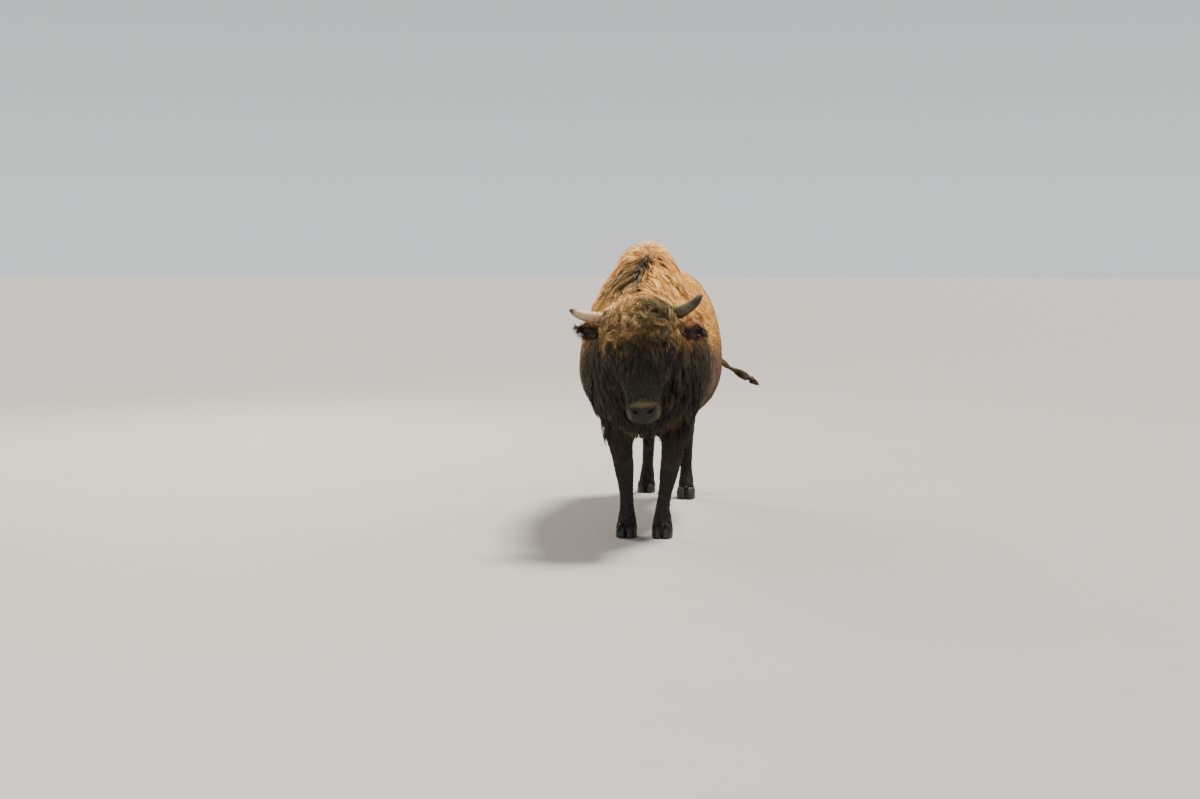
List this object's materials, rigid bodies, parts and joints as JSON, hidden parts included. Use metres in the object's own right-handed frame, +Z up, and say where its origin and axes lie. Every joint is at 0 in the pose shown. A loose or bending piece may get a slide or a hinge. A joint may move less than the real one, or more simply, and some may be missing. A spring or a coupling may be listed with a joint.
{
  "type": "wisent",
  "caption": "Life-size standing wisent bull with lowered head, hump, beard and swung tail, parted into head, neck, trunk, legs, hooves, horns, ears, eyes and tail.",
  "frame": {"origin": "on the ground under the middle of the whole outline, tail included; the soles are at z = 0", "axes": "+Z up, -Y the way the animal faces, +X towards the animal's own left side"},
  "size_m": [1.082, 2.6422, 1.7437],
  "materials": {
    "coat_brown": "dense brown hair",
    "coat_tawny": "long ginger hair",
    "coat_dark": "dark brown hair",
    "horn": "dull horn, darker at the tip",
    "hoof": "worn dark horn",
    "eye": "wet dark brown"
  },
  "bodies": {
    "root": {"beard": "coat_dark", "dewclaw_front_left_inner": "hoof", "dewclaw_front_left_outer": "hoof", "dewclaw_front_right_inner": "hoof", "dewclaw_front_right_outer": "hoof", "dewclaw_hind_left_inner": "hoof", "dewclaw_hind_left_outer": "hoof", "dewclaw_hind_right_inner": "hoof", "dewclaw_hind_right_outer": "hoof", "ear_left": "coat_brown", "ear_right": "coat_brown", "eye_left": "eye", "eye_right": "eye", "head": "coat_dark", "hoof_front_left_inner": "hoof", "hoof_front_left_outer": "hoof", "hoof_front_right_inner": "hoof", "hoof_front_right_outer": "hoof", "hoof_hind_left_inner": "hoof", "hoof_hind_left_outer": "hoof", "hoof_hind_right_inner": "hoof", "hoof_hind_right_outer": "hoof", "horn_left": "horn", "horn_right": "horn", "leg_front_left": "coat_dark", "leg_front_right": "coat_dark", "leg_hind_left": "coat_dark", "leg_hind_right": "coat_dark", "neck": "coat_tawny", "tail": "coat_brown", "tail_tuft": "coat_dark", "trunk": "coat_brown"}
  },
  "joints": []
}
